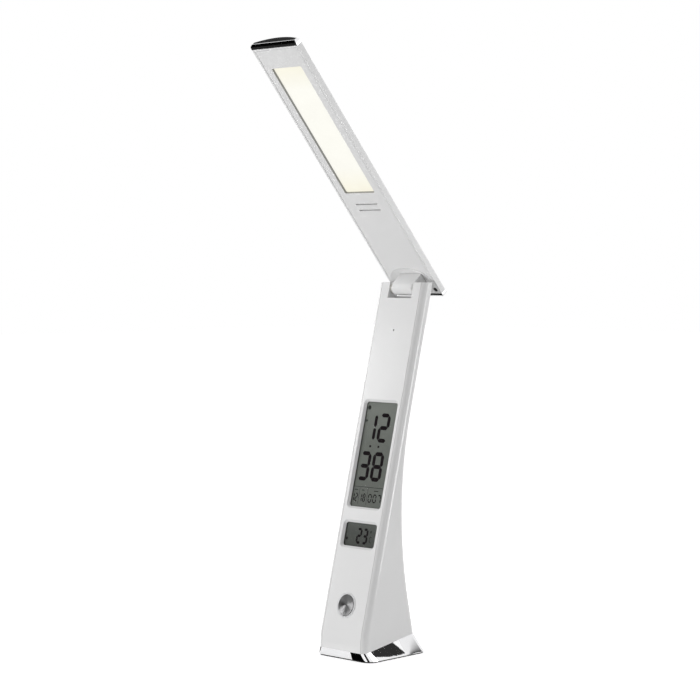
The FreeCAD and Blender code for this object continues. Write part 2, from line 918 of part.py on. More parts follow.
def hinge_scoop(grow, rise):
    """Shallow oval hollow in the underside that leaves room round the neck, cut short towards the tail."""
    ball = Part.makeSphere(scoop_reach, V(0, 0, 0), X_AXIS)
    stretch = FreeCAD.Matrix()
    stretch.scale((scoop_half_width + grow) / scoop_reach, (scoop_reach + grow) / scoop_reach,
                  (scoop_depth + scoop_drop + rise) / scoop_reach)
    oval = ball.transformGeometry(stretch)
    oval.translate(V(0, 0, -scoop_drop))
    limit = scoop_half_width + scoop_reach
    room = box((-limit, limit), (-limit, scoop_tail_reach + grow), (-limit, limit))
    return oval.common(room)


def head_lower_cover():
    half = head_half - head_wall - slip_gap
    front = cover_front + head_wall + slip_gap
    back = cover_back - head_wall - slip_gap
    plate = box((-half, half), (front, back), (0, head_lower_thickness))

    def under_side(edge, middle):
        return abs(direction(edge).y) > lengthwise_share and abs(middle.z) < slip_gap

    plate = plate.makeFillet(head_lower_edge_round, edges_where(plate, under_side))
    slot_half = barrel_length / 2 + slip_gap
    slot_reach = barrel_radius + slip_gap
    seat_half = slot_half + scoop_wall
    seat_reach = knuckle_flange_reach + scoop_wall
    seat = box((-seat_half, seat_half), (-seat_reach, min(seat_reach, back)), (0, roof_top))
    above = box((-half, half), (-head_reach, back), (0, head_crown_height))
    roof = hinge_scoop(scoop_wall, scoop_roof_wall).common(above)
    cuts = [hinge_scoop(0, 0),
            box((-slot_half, slot_half), (-slot_reach, slot_reach), (-overrun, roof_top + overrun)),
            light_plate(0, -overrun, overrun)]
    for x, y in head_screw_places:
        recess = upright_rod(head_screw_head_radius + slip_gap, x, y, -overrun, head_screw_head_height)
        cuts += [recess, upright_rod(head_screw_radius, x, y, -overrun, overrun)]
    cuts += knuckle_rods(knuckle_screw_radius, roof_top - knuckle_screw_length, roof_top + overrun)
    return placed(plate.fuse([seat, roof]).removeSplitter().cut(cuts + slit_cuts()), head_frame)


def hinge_knuckle():
    """Barrel round the pin, with a neck through the underside to a flange screwed on inside."""
    barrel = cross_rod(barrel_radius, barrel_length / 2, 0, -hinge_drop)
    rims = edges_where(barrel, lambda edge, middle: abs(direction(edge).x) < lengthwise_share)
    barrel = barrel.makeFillet(barrel_end_round, rims)
    half = barrel_length / 2 - neck_side_step
    neck = box((-half, half), (-barrel_radius, barrel_radius), (-hinge_drop, roof_top))
    flange = box((-half, half), (-knuckle_flange_reach, knuckle_flange_reach), (roof_top, flange_top))
    cuts = [cross_rod(pin_radius + running_gap, barrel_length, 0, -hinge_drop)]
    cuts += knuckle_rods(knuckle_screw_radius, 0, flange_top)
    recess_low = flange_top - knuckle_screw_head_height
    cuts += knuckle_rods(knuckle_screw_head_radius + slip_gap, recess_low, flange_top + overrun)
    return placed(fused([barrel, neck, flange]).cut(cuts), head_frame)


def knuckle_screws():
    head_low = flange_top - knuckle_screw_head_height
    tip = roof_top - knuckle_screw_length + slip_gap
    shanks = knuckle_rods(knuckle_screw_radius - running_gap, tip, head_low)
    heads = knuckle_rods(knuckle_screw_head_radius, head_low, flange_top)
    return Part.makeCompound([placed(shank.fuse(head), head_frame) for shank, head in zip(shanks, heads)])


def head_screws():
    screws = []
    tip = head_lower_thickness + head_screw_length - screw_tip_gap
    for x, y in head_screw_places:
        head = upright_rod(head_screw_head_radius, x, y, slip_gap, head_screw_head_height)
        shank = upright_rod(head_screw_radius - running_gap, x, y, head_screw_head_height, tip)
        screws.append(placed(head.fuse(shank), head_frame))
    return Part.makeCompound(screws)


# Light panel

frame_low = head_lower_thickness + diffuser_flange
frame_top = frame_low + light_frame_height


def led_diffuser():
    face = light_plate(-slip_gap, diffuser_recess, head_lower_thickness)
    flange = light_plate(diffuser_lap, head_lower_thickness, frame_low)
    return placed(face.fuse(flange).removeSplitter(), head_frame)


def light_frame():
    outer = light_plate(diffuser_lap, frame_low, frame_top)
    inner = light_plate(diffuser_lap - light_frame_wall, frame_low - overrun, frame_top + overrun)
    return placed(outer.cut(inner), head_frame)


def led_board():
    grow = diffuser_lap - light_frame_wall / 2
    return placed(light_plate(grow, frame_top, frame_top + led_board_thickness), head_frame)


def led_chips():
    chips = []
    pitch = light_window_length / led_columns
    for row in range(led_rows):
        x = (row - (led_rows - 1) / 2) * led_row_spacing
        for column in range(led_columns):
            y = light_far + pitch * (column + 1 / 2)
            chip = box((x - led_width / 2, x + led_width / 2), (y - led_length / 2, y + led_length / 2),
                       (frame_top - led_height, frame_top))
            chips.append(placed(chip, head_frame))
    return Part.makeCompound(chips)


# End caps

def end_cap(inner_y, outer_y):
    cap = head_section(0, 0, inner_y, outer_y)

    def outer_rim(edge, middle):
        return abs(middle.y - outer_y) < slip_gap

    return placed(cap.makeFillet(end_cap_round, edges_where(cap, outer_rim)), head_frame)


def head_tip_trim():
    return end_cap(cover_front, -head_reach)


def head_tail_trim():
    return end_cap(cover_back, head_tail)


makers = [stem_rear_shell, stem_front_cover, main_lens, main_lcd, temperature_lens, temperature_lcd,
          display_board, set_switches, main_board, power_switch, alarm_buzzer, board_screws, button_ring,
          power_button, indicator_light_pipe, battery, charge_board, charge_inlet, ballast_weight,
          base_skirt, base_plate, base_screws, foot_pad, hinge_pin, hinge_washers, hinge_knuckle,
          knuckle_screws, head_lower_cover, head_upper_cover, led_diffuser, light_frame, led_board,
          led_chips, head_tip_trim, head_tail_trim, head_screws]

os.makedirs("parts", exist_ok=True)
pieces = {maker.__name__: maker() for maker in makers}
for number, rise in enumerate(set_rises, start=1):
    pieces[f"set_button_{number}"] = set_button(rise)
for name, shape in pieces.items():
    shape.exportStep(f"parts/{name}.step")
    print(name, len(shape.Solids), round(shape.Volume, 1), shape.isValid())
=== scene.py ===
import json
import math

import bmesh
import bpy
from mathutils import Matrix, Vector


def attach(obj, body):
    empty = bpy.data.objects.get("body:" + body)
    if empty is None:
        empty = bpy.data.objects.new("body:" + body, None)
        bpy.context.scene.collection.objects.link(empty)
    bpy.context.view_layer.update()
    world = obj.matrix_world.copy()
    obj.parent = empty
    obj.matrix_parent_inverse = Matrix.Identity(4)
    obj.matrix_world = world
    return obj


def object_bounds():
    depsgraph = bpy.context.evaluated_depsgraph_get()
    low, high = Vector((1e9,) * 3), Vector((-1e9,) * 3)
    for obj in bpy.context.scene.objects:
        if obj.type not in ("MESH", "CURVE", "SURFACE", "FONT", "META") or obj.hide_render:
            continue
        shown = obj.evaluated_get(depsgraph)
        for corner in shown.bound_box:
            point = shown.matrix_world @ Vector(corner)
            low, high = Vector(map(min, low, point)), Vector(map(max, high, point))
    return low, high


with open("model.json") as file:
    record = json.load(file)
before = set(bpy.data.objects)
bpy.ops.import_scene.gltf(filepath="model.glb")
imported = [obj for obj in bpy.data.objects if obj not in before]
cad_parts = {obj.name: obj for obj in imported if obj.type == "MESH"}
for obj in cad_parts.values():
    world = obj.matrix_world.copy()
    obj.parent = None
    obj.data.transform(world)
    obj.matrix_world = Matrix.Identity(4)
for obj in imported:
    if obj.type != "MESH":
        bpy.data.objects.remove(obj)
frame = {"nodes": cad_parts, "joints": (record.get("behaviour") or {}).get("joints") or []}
cad_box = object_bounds()
nodes = frame["nodes"]

mm = 0.001
opaque_white = (1.0, 1.0, 1.0, 1.0)

# Stem directions, taken from the way the power button travels
joint_axes = {joint["name"]: Vector(joint["axis"]) for joint in frame["joints"]}
inward = joint_axes["power_button_press"].normalized()
across = Vector((1.0, 0.0, 0.0))
upward = across.cross(inward)

# Camera
camera_place = (1.1399, -1.1055, 0.2792)
camera_aim = (-0.7242, 0.6885, -0.0391)
camera_focal_px = 2237.0
camera_middle_px = 352.07
image_px = 700
sensor_width = 36.0

# World and floor
ambient_strength = 0.34
backdrop_strength = 1.0
floor_size = 12.0
floor_drop = 0.1 * mm
floor_near_lift = 0.55
floor_far_lift = 0.90
floor_far_reach = 1.6
floor_gloss_lift = 0.45
floor_tones = [(0.84, 0.84, 0.84), (0.86, 0.86, 0.86)]
floor_cloud_scale = 3.0
floor_roughness = 0.9

# Softboxes
studio_middle = Vector((0.0, 0.0, 0.2))
low_fill_place = (-0.56, -0.82, 0.09)
low_fill_aim = (0.0, 0.0, 0.25)

# Studio cards that only show in reflections: tone, and how strongly each finish glows
card_tone = (0.002, 0.002, 0.002)
card_glows = {"flag_black": 0.0, "flag_charcoal": 0.03, "flag_bright": 5.0, "flag_pale": 2.5}
card_fade_places = (0.0, 0.06, 0.18, 1.0)
card_fade_greys = (0.03, 0.3, 0.95, 1.0)

# Cards that hang round the lamp: finish, azimuth, elevation, distance, width, height
hung_cards = {
    "rim_card": ("flag_bright", 112, 6, 0.78, 0.34, 0.6),
    "head_card": ("flag_pale", 131, 31, 0.35, 0.42, 0.3),
    "button_glow": ("flag_bright", -66.5, 12, 0.85, 0.5, 0.2),
    "display_flag": ("flag_black", -47, 12, 0.9, 0.6, 1.6),
    "corner_flag": ("flag_black", 18, 14, 0.9, 1.1, 0.8),
    "side_flag": ("flag_charcoal", 133.5, 14, 1.4, 0.47, 1.1),
    "tip_flag": ("flag_charcoal", -107, 46, 0.9, 0.5, 0.5),
}

# Cards that lie on the floor: finish, middle of the near edge, azimuth, length, width
lying_cards = {
    "front_card": ("flag_black", (0.0205, -0.031), -51, 0.045, 0.0115),
    "button_card": ("flag_black", (-0.05, -0.085), -47, 0.9, 0.5),
    "tip_card": ("flag_charcoal", (-0.25, -0.05), -84, 3.0, 1.2),
    "left_card": ("flag_charcoal", (-0.034, -0.02), -112, 0.06, 0.05),
    "rear_card": ("card_fade", (0.026, 0.034), 147, 0.25, 0.09),
}

# Moulded, cast and plated surfaces: colour, roughness, share of the colour in its darker
# clouds, scale of the grain, strength of the grain, metallic
white_plastic = ((0.82, 0.82, 0.82), 0.16, 0.985, 150.0, 0.004, 0.0)
card_surface = (card_tone, 0.9, 0.97, 900.0, 0.05, 0.0)
moulded_surfaces = {
    "white_gloss": white_plastic,
    "white_with_painted_window_shade": white_plastic,
    "chrome": ((0.88, 0.88, 0.89), 0.045, 0.98, 500.0, 0.004, 1.0),
    "satin_chrome": ((0.84, 0.84, 0.85), 0.42, 0.96, 900.0, 0.05, 0.45),
    "clear_lens": ((0.02, 0.022, 0.02), 0.05, 0.97, 900.0, 0.01, 0.0),
    "black_plastic": ((0.02, 0.02, 0.02), 0.45, 0.8, 1500.0, 0.15, 0.0),
    "steel": ((0.55, 0.55, 0.56), 0.28, 0.85, 1200.0, 0.05, 1.0),
    "dark_steel": ((0.10, 0.10, 0.105), 0.35, 0.8, 1200.0, 0.05, 1.0),
    "nylon": ((0.70, 0.69, 0.64), 0.5, 0.95, 800.0, 0.08, 0.0),
    "battery_wrap": ((0.45, 0.47, 0.5), 0.35, 0.9, 300.0, 0.2, 1.0),
    "ballast_iron": ((0.10, 0.10, 0.10), 0.6, 0.7, 600.0, 0.4, 0.6),
    "rubber_black": ((0.02, 0.02, 0.02), 0.65, 0.8, 1800.0, 0.25, 0.0),
    "button_white": ((0.80, 0.80, 0.79), 0.32, 0.97, 1500.0, 0.08, 0.0),
    "frame_white": ((0.80, 0.80, 0.77), 0.4, 0.96, 1200.0, 0.08, 0.0),
    "led_yellow": ((0.85, 0.68, 0.15), 0.3, 0.9, 2000.0, 0.05, 0.0),
    "lcd_ink_dark": ((0.016, 0.012, 0.014), 0.45, 0.8, 2500.0, 0.03, 0.0),
    "lcd_ink_faint": ((0.040, 0.043, 0.040), 0.45, 0.8, 2500.0, 0.03, 0.0),
    "flag_black": card_surface,
    "flag_charcoal": card_surface,
    "flag_bright": card_surface,
    "flag_pale": card_surface,
}
cloud_scale = 35.0
cloud_detail = 3.0
cloud_places = (0.35, 0.65)
cloud_gloss_shares = (0.8, 1.25)
grain_height = 0.1 * mm
tone_places = (0.3, 0.7)

# Painted shade: grey on the walls inside the light window, where they stand in shade; and the clear
# lenses
painted_wall_shade_start = 0.12 * mm
window_wall_painted_shade = (0.30, 0.30, 0.295, 1.0)
lens_alpha = 0.10

# LCD glass: a relief is its bump strength and its height
lcd_tones = {"lcd_glass": (0.185, 0.198, 0.180), "lcd_glass_dim": (0.108, 0.115, 0.106)}
# Painted light: shares of the glass tone at places up the glass, darker at its bottom and paler
# towards its top
lcd_painted_light_places = (0.0, 0.6, 1.0)
lcd_painted_light_shares = (0.9, 1.0, 1.35)
lcd_cloud_scale = 28.0
lcd_cloud_detail = 1.0
lcd_roughness = (0.32, 0.45)
lcd_row_scale = 900.0
lcd_row_relief = (0.05, 0.05 * mm)
lcd_specular = 0.03

# Turned metal of the power button
spun_tones = [(0.36, 0.36, 0.365), (0.56, 0.56, 0.565)]
spun_ring_scale = 9000.0
spun_ring_detail = 3.0
spun_roughness = (0.30, 0.40)
spun_relief = (0.04, 0.05 * mm)
spun_quarter_turn = 0.25

# Lit opal plastic
milk_cream = (0.84, 0.81, 0.67)
milk_warm = (0.87, 0.862, 0.80)
milk_glow_places = (0.0, 0.2, 0.8, 1.0)
milk_tones = [(0.11, 0.108, 0.10), (0.14, 0.138, 0.13)]
milk_cloud_scale = 60.0
milk_roughness = (0.45, 0.6)
milk_grain_scale = 1500.0
milk_relief = (0.05, 0.1 * mm)

# Circuit boards: solder mask and the mask over a track
board_tones = {
    "board_green": [(0.01, 0.10, 0.03), (0.02, 0.16, 0.05)],
    "board_white": [(0.80, 0.80, 0.78), (0.70, 0.70, 0.68)],
}
track_scale = 120.0
track_width = 0.03
track_relief = (0.2, 0.1 * mm)
board_cloud_scale = 80.0
board_roughness = (0.35, 0.5)

# Finish of each CAD node
node_finishes = {
    "white_gloss": ["stem_rear_shell", "stem_front_cover", "head_upper_cover", "hinge_knuckle"],
    # the lower cover's white carries painted shade on the walls of its light window
    "white_with_painted_window_shade": ["head_lower_cover"],
    "chrome": ["base_skirt", "head_tip_trim", "head_tail_trim"],
    "satin_chrome": ["button_ring"],
    "spun_metal": ["power_button"],
    "clear_lens": ["main_lens", "temperature_lens", "indicator_light_pipe"],
    "lcd_glass": ["main_lcd"],
    "lcd_glass_dim": ["temperature_lcd"],
    "board_green": ["display_board", "main_board", "charge_board"],
    "board_white": ["led_board"],
    "black_plastic": ["set_switches", "power_switch", "alarm_buzzer", "base_plate"],
    "steel": ["board_screws", "base_screws", "hinge_pin", "knuckle_screws", "charge_inlet"],
    "dark_steel": ["head_screws"],
    "nylon": ["hinge_washers"],
    "battery_wrap": ["battery"],
    "ballast_iron": ["ballast_weight"],
    "rubber_black": ["foot_pad"],
    "button_white": ["set_button_1", "set_button_2", "set_button_3", "set_button_4"],
    "diffuser_milk": ["led_diffuser"],
    "frame_white": ["light_frame"],
    "led_yellow": ["led_chips"],
}

# Signs on the displays, in millimetres across and up from the middle of each display.
# A digit's size is its width, height and stroke, and a bar is its middle, width and height.
ink_gap = 0.03
segment_gap = 0.12
round_steps = 20
clock_digit = (11.0, 21.2, 2.9)
clock_digits = [("1", -8.4, 19.65), ("2", 4.4, 19.65), ("3", -8.4, -8.45), ("8", 4.4, -8.45)]
clock_dots = [(-6.0, 5.9, 1.7, 1.5), (2.4, 5.9, 1.7, 1.5)]
date_digit = (2.7, 6.2, 0.85)
date_digits = [("1", -14.6, -31.2), ("2", -11.3, -31.2), ("1", -6.9, -31.2), ("8", -3.5, -31.2)]
day_digit = (3.7, 6.2, 0.9)
day_digits = [("0", 2.5, -31.2), ("0", 7.2, -31.2), ("7", 11.9, -31.2)]
rule_bars = [
    (-0.6, -23.5, 29.2, 0.35), (-8.9, -30.0, 0.3, 12.0), (-0.6, -30.0, 0.3, 12.0),
]
label_bars = [(-12.4, -25.8, 3.2, 0.6), (-5.4, -25.8, 2.6, 0.6), (7.8, -25.8, 4.4, 0.6)]
alarm_place = (-13.4, 24.3)
alarm_size = 2.2
bell_place = (-13.1, 33.8)
bell_radius = 1.6
degree_digit = (5.4, 11.4, 1.75)
degree_digits = [("2", -1.7, -0.55), ("3", 4.4, -0.55)]
degree_dot_place = (-13.6, -3.25)
degree_dot_radius = 1.0
unit_digit = (2.4, 4.6, 0.6)
unit_digits = [("C", 10.3, -2.6)]
unit_ring_place = (9.7, 3.0)
unit_ring_radius = 0.9
unit_ring_stroke = 0.5

# Segments that each sign lights: a on top, then clockwise to f, with g in the middle
segments_lit = {
    "0": "abcdef", "1": "bc", "2": "abged", "3": "abgcd", "7": "abc", "8": "abcdefg", "C": "afed",
}


# Places on the stem

def stem_span(node):
    """Lowest and highest values of a node across, up along and into the stem."""
    points = [vertex.co for vertex in nodes[node].data.vertices]
    spans = []
    for direction in (across, upward, inward):
        values = [point.dot(direction) for point in points]
        spans.append((min(values), max(values)))
    return spans


def stem_point(x, rise, depth):
    return across * x + upward * rise + inward * depth


def middle(span):
    return (span[0] + span[1]) / 2


# Building blocks for materials

def new_material(name):
    material = bpy.data.materials.new(name)
    material.use_nodes = True
    return material, material.node_tree, shader_of(material)


def shader_of(material):
    return material.node_tree.nodes["Principled BSDF"]


def add_node(tree, kind, inputs=None, **settings):
    node = tree.nodes.new(kind)
    for key, value in settings.items():
        setattr(node, key, value)
    for key, value in (inputs or {}).items():
        node.inputs[key].default_value = value
    return node


def object_place(tree):
    return add_node(tree, "ShaderNodeTexCoord").outputs["Object"]


def share_along(tree, axis):
    """Share of the way along one axis of the piece's own box, from 0 to 1."""
    place = add_node(tree, "ShaderNodeSeparateXYZ")
    tree.links.new(add_node(tree, "ShaderNodeTexCoord").outputs["Generated"], place.inputs[0])
    return place.outputs[axis]


def noise(tree, scale, detail=2.0):
    texture = add_node(tree, "ShaderNodeTexNoise", {"Scale": scale, "Detail": detail})
    tree.links.new(object_place(tree), texture.inputs["Vector"])
    return texture.outputs["Fac"]


def ramp(tree, factor, places, colours):
    """Runs through colours, each reached at its own place along the factor."""
    node = add_node(tree, "ShaderNodeValToRGB")
    elements = node.color_ramp.elements
    halfway = 0.5
    while len(elements) < len(places):
        elements.new(halfway)
    for element, place, colour in zip(elements, places, colours):
        element.position = place
        element.color = (*colour, 1.0)
    tree.links.new(factor, node.inputs["Fac"])
    return node.outputs["Color"]


def span_value(tree, factor, low, high):
    node = add_node(tree, "ShaderNodeMapRange", {"To Min": low, "To Max": high})
    tree.links.new(factor, node.inputs["Value"])
    return node.outputs["Result"]


def combined(tree, operation, values):
    """Takes several values together, one after the other."""
    total = values[0]
    for value in values[1:]:
        pair = add_node(tree, "ShaderNodeMath", operation=operation)
        tree.links.new(total, pair.inputs[0])
        tree.links.new(value, pair.inputs[1])
        total = pair.outputs[0]
    return total


def bump(tree, shader, height, strength, distance):
    node = add_node(tree, "ShaderNodeBump", {"Strength": strength, "Distance": distance})
    tree.links.new(height, node.inputs["Height"])
    tree.links.new(node.outputs["Normal"], shader.inputs["Normal"])


def shaded(colour, share):
    return tuple(value * share for value in colour)


def dull(material):
    shader_of(material).inputs["Specular IOR Level"].default_value = 0.0
    return material


def glowing(material, strength):
    """Gives a surface a glow of its own, which is not sampled as a light."""
    shader = shader_of(material)
    shader.inputs["Emission Color"].default_value = opaque_white
    shader.inputs["Emission Strength"].default_value = strength
    material.cycles.emission_sampling = "NONE"
    return material


# Materials

def moulded(name):
    """A surface with slow colour and gloss changes and a fine moulded or cast grain."""
    colour, roughness, dark_share, grain_scale, grain, metallic = moulded_surfaces[name]
    material, tree, shader = new_material(name)
    clouds = noise(tree, cloud_scale, cloud_detail)
    tint = ramp(tree, clouds, cloud_places, [shaded(colour, dark_share), colour])
    tree.links.new(tint, shader.inputs["Base Color"])
    low_share, high_share = cloud_gloss_shares
    gloss = span_value(tree, clouds, roughness * low_share, roughness * high_share)
    tree.links.new(gloss, shader.inputs["Roughness"])
    bump(tree, shader, noise(tree, grain_scale), grain, grain_height)
    shader.inputs["Metallic"].default_value = metallic
    return material


def within(tree, direction, low, high):
    """One where a place lies between two distances along a direction."""
    along = add_node(tree, "ShaderNodeVectorMath", {1: direction}, operation="DOT_PRODUCT")
    tree.links.new(object_place(tree), along.inputs[0])
    centre, reach = (low + high) / 2, (high - low) / 2
    inside = add_node(tree, "ShaderNodeMath", {1: centre, 2: reach}, operation="COMPARE")
    tree.links.new(along.outputs["Value"], inside.inputs[0])
    return inside.outputs[0]


def white_with_painted_window_shade(name):
    """The white of the covers, with painted shade: a grey base colour on the walls inside the light
    window.
    """
    material = moulded(name)
    tree = material.node_tree
    base_colour = shader_of(material).inputs["Base Color"]
    diffuser = nodes["led_diffuser"].data
    plate = max(diffuser.polygons, key=lambda face: face.area)
    outward = plate.normal if plate.normal.z < 0 else -plate.normal
    painted_shade_masks = []
    for direction in (across, outward.cross(across)):
        values = [vertex.co.dot(direction) for vertex in diffuser.vertices]
        painted_shade_masks.append(within(tree, direction, min(values), max(values)))
    cover = [vertex.co.dot(outward) for vertex in nodes["head_lower_cover"].data.vertices]
    painted_shade_masks.append(within(tree, outward, min(cover), max(cover) - painted_wall_shade_start))
    # painted shade: the window walls get a grey base colour where they stand in shade
    painted_wall_shade = add_node(tree, "ShaderNodeMix", data_type="RGBA")
    tree.links.new(combined(tree, "MULTIPLY", painted_shade_masks), painted_wall_shade.inputs["Factor"])
    tree.links.new(base_colour.links[0].from_socket, painted_wall_shade.inputs["A"])
    painted_wall_shade.inputs["B"].default_value = window_wall_painted_shade
    tree.links.new(painted_wall_shade.outputs["Result"], base_colour)
    return material


def clear_lens(name):
    material = moulded(name)
    shader_of(material).inputs["Alpha"].default_value = lens_alpha
    return material


def lcd_glass(name):
    """Grey-green LCD glass with painted light, paler towards its top, a fine row grid and uneven
    gloss.
    """
    material, tree, shader = new_material(name)
    painted_light_tones = [shaded(lcd_tones[name], share) for share in lcd_painted_light_shares]
    # painted light: the glass tone ramps paler towards the top of the display
    tint = ramp(tree, share_along(tree, "Z"), lcd_painted_light_places, painted_light_tones)
    tree.links.new(tint, shader.inputs["Base Color"])
    rows = add_node(tree, "ShaderNodeTexWave", {"Scale": lcd_row_scale}, bands_direction="Z")
    tree.links.new(object_place(tree), rows.inputs["Vector"])
    bump(tree, shader, rows.outputs["Fac"], *lcd_row_relief)
    gloss = span_value(tree, noise(tree, lcd_cloud_scale, lcd_cloud_detail), *lcd_roughness)
    tree.links.new(gloss, shader.inputs["Roughness"])
    shader.inputs["Specular IOR Level"].default_value = lcd_specular
    return material


def spun_metal(name):
    """Turned metal: fine rings about the button's axis draw its highlights out along the radius."""
    material, tree, shader = new_material(name)
    width, rise, depth = stem_span("power_button")
    centre = stem_point(middle(width), middle(rise), depth[0])
    offset = add_node(tree, "ShaderNodeVectorMath", {1: centre}, operation="SUBTRACT")
    tree.links.new(object_place(tree), offset.inputs[0])
    tree.links.new(offset.outputs["Vector"], shader.inputs["Tangent"])
    radius = add_node(tree, "ShaderNodeVectorMath", operation="LENGTH")
    tree.links.new(offset.outputs["Vector"], radius.inputs[0])
    ring_inputs = {"Scale": spun_ring_scale, "Detail": spun_ring_detail}
    texture = add_node(tree, "ShaderNodeTexNoise", ring_inputs, noise_dimensions="1D")
    tree.links.new(radius.outputs["Value"], texture.inputs["W"])
    rings = texture.outputs["Fac"]
    tree.links.new(ramp(tree, rings, tone_places, spun_tones), shader.inputs["Base Color"])
    tree.links.new(span_value(tree, rings, *spun_roughness), shader.inputs["Roughness"])
    bump(tree, shader, rings, *spun_relief)
    shader.inputs["Metallic"].default_value = 1.0
    shader.inputs["Anisotropic"].default_value = 1.0
    shader.inputs["Anisotropic Rotation"].default_value = spun_quarter_turn
    return material


def diffuser_milk(name):
    """Lit opal plastic, a little creamier towards its two ends."""
    material, tree, shader = new_material(name)
    glow_tones = [milk_cream, milk_warm, milk_warm, milk_cream]
    glow = ramp(tree, share_along(tree, "Z"), milk_glow_places, glow_tones)
    glowing(material, 1.0)
    tree.links.new(glow, shader.inputs["Emission Color"])
    clouds = noise(tree, milk_cloud_scale)
    tree.links.new(ramp(tree, clouds, tone_places, milk_tones), shader.inputs["Base Color"])
    tree.links.new(span_value(tree, clouds, *milk_roughness), shader.inputs["Roughness"])
    bump(tree, shader, noise(tree, milk_grain_scale), *milk_relief)
    return material


def board(name):
    """Solder mask with the faint relief of copper tracks under it."""
    material, tree, shader = new_material(name)
    track_inputs = {"Scale": track_scale, "Mortar Size": track_width}
    tracks = add_node(tree, "ShaderNodeTexBrick", track_inputs)
    tree.links.new(object_place(tree), tracks.inputs["Vector"])
    tint = ramp(tree, tracks.outputs["Fac"], (0.0, 1.0), board_tones[name])
    tree.links.new(tint, shader.inputs["Base Color"])
    gloss = span_value(tree, noise(tree, board_cloud_scale), *board_roughness)
    tree.links.new(gloss, shader.inputs["Roughness"])
    bump(tree, shader, tracks.outputs["Fac"], *track_relief)
    return material


special_finishes = {
    "white_with_painted_window_shade": white_with_painted_window_shade,
    "spun_metal": spun_metal,
    "clear_lens": clear_lens,
    "lcd_glass": lcd_glass,
    "lcd_glass_dim": lcd_glass,
    "board_green": board,
    "board_white": board,
    "diffuser_milk": diffuser_milk,
}


def dress_nodes():
    for finish, names in node_finishes.items():
        material = special_finishes.get(finish, moulded)(finish)
        for name in names:
            for material_slot in nodes[name].material_slots:
                material_slot.material = material


# Flat outlines, each a list of corner points

def bar_points(x, y, width, height):
    left, right = x - width / 2, x + width / 2
    low, high = y - height / 2, y + height / 2
    return [(left, low), (right, low), (right, high), (left, high)]


def disc_points(x, y, radius):
    angles = [2 * math.pi * step / round_steps for step in range(round_steps)]
    return [(x + radius * math.cos(angle), y + radius * math.sin(angle)) for angle in angles]


def ring_outlines(x, y, radius, stroke):
    outer, inner = disc_points(x, y, radius), disc_points(x, y, radius - stroke)
    pairs = zip(range(round_steps), [*range(1, round_steps), 0])
    return [[outer[here], outer[there], inner[there], inner[here]] for here, there in pairs]


def arrow_points(x, y, size):
    """A triangle that points to the right."""
    half = size / 2
    return [(x - half, y - half), (x + half, y), (x - half, y + half)]


def pointed_bar(start, end, stroke):
    """A display segment: a bar with two pointed ends, between two corners of the digit."""
    run = (Vector(end) - Vector(start)).normalized()
    side = Vector((-run.y, run.x)) * (stroke / 2)
    tip_a = Vector(start) + run * segment_gap
    tip_b = Vector(end) - run * segment_gap
    neck_a = tip_a + run * (stroke / 2)
    neck_b = tip_b - run * (stroke / 2)
    points = (tip_a, neck_a - side, neck_b - side, tip_b, neck_b + side, neck_a + side)
    return [tuple(point) for point in points]


def digit_outlines(signs, size):
    width, height, stroke = size
    outlines = []
    for sign, x, y in signs:
        left, right = x - (width - stroke) / 2, x + (width - stroke) / 2
        low, high = y - (height - stroke) / 2, y + (height - stroke) / 2
        segments = {
            "a": ((left, high), (right, high)),
            "b": ((right, y), (right, high)),
            "c": ((right, low), (right, y)),
            "d": ((left, low), (right, low)),
            "e": ((left, low), (left, y)),
            "f": ((left, y), (left, high)),
            "g": ((left, y), (right, y)),
        }
        outlines += [pointed_bar(*segments[letter], stroke) for letter in segments_lit[sign]]
    return outlines


def clock_outlines():
    outlines = digit_outlines(clock_digits, clock_digit)
    outlines += [bar_points(*dot) for dot in clock_dots]
    outlines += digit_outlines(date_digits, date_digit)
    return outlines + digit_outlines(day_digits, day_digit)


def clock_mark_outlines():
    outlines = [bar_points(*bar) for bar in rule_bars + label_bars]
    outlines.append(arrow_points(*alarm_place, alarm_size))
    return outlines + [disc_points(*bell_place, bell_radius)]


def degree_outlines():
    outlines = digit_outlines(degree_digits, degree_digit)
    return outlines + [disc_points(*degree_dot_place, degree_dot_radius)]


def degree_mark_outlines():
    outlines = digit_outlines(unit_digits, unit_digit)
    return outlines + ring_outlines(*unit_ring_place, unit_ring_radius, unit_ring_stroke)


# Flat pieces

def flat_piece(name, outlines, material):
    """One mesh with a flat face for each outline."""
    mesh = bpy.data.meshes.new(name)
    form = bmesh.new()
    for outline in outlines:
        form.faces.new([form.verts.new(point) for point in outline])
    form.to_mesh(mesh)
    form.free()
    mesh.materials.append(material)
    piece = bpy.data.objects.new(name, mesh)
    bpy.context.scene.collection.objects.link(piece)
    return piece


def print_on(display, name, outlines, ink):
    """Lays flat signs on the front of a display, as one piece."""
    _, rise, depth = stem_span(display)
    centre = stem_point(0.0, middle(rise), depth[0] - ink_gap * mm)
    laid = []
    for outline in outlines:
        laid.append([centre + (across * x + upward * y) * mm for x, y in outline])
    piece = flat_piece(name, laid, ink)
    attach(piece, "stem")


def print_displays():
    dark = dull(moulded("lcd_ink_dark"))
    faint = dull(moulded("lcd_ink_faint"))
    print_on("main_lcd", "clock_digits", clock_outlines(), dark)
    print_on("main_lcd", "clock_marks", clock_mark_outlines(), faint)
    print_on("temperature_lcd", "temperature_digits", degree_outlines(), dark)
    print_on("temperature_lcd", "temperature_marks", degree_mark_outlines(), faint)


# Studio

def level_direction(azimuth):
    """A level direction: azimuth turns from the front of the lamp towards its right side."""
    turn = math.radians(azimuth)
    return Vector((math.sin(turn), -math.cos(turn), 0.0))


def around(azimuth, elevation, distance):
    """A place in the studio, seen from its middle."""
    lift = math.radians(elevation)
    direction = level_direction(azimuth) * math.cos(lift)
    direction.z = math.sin(lift)
    return studio_middle + direction * distance


def facing(place, target):
    return (Vector(target) - Vector(place)).to_track_quat("-Z", "Y").to_euler()


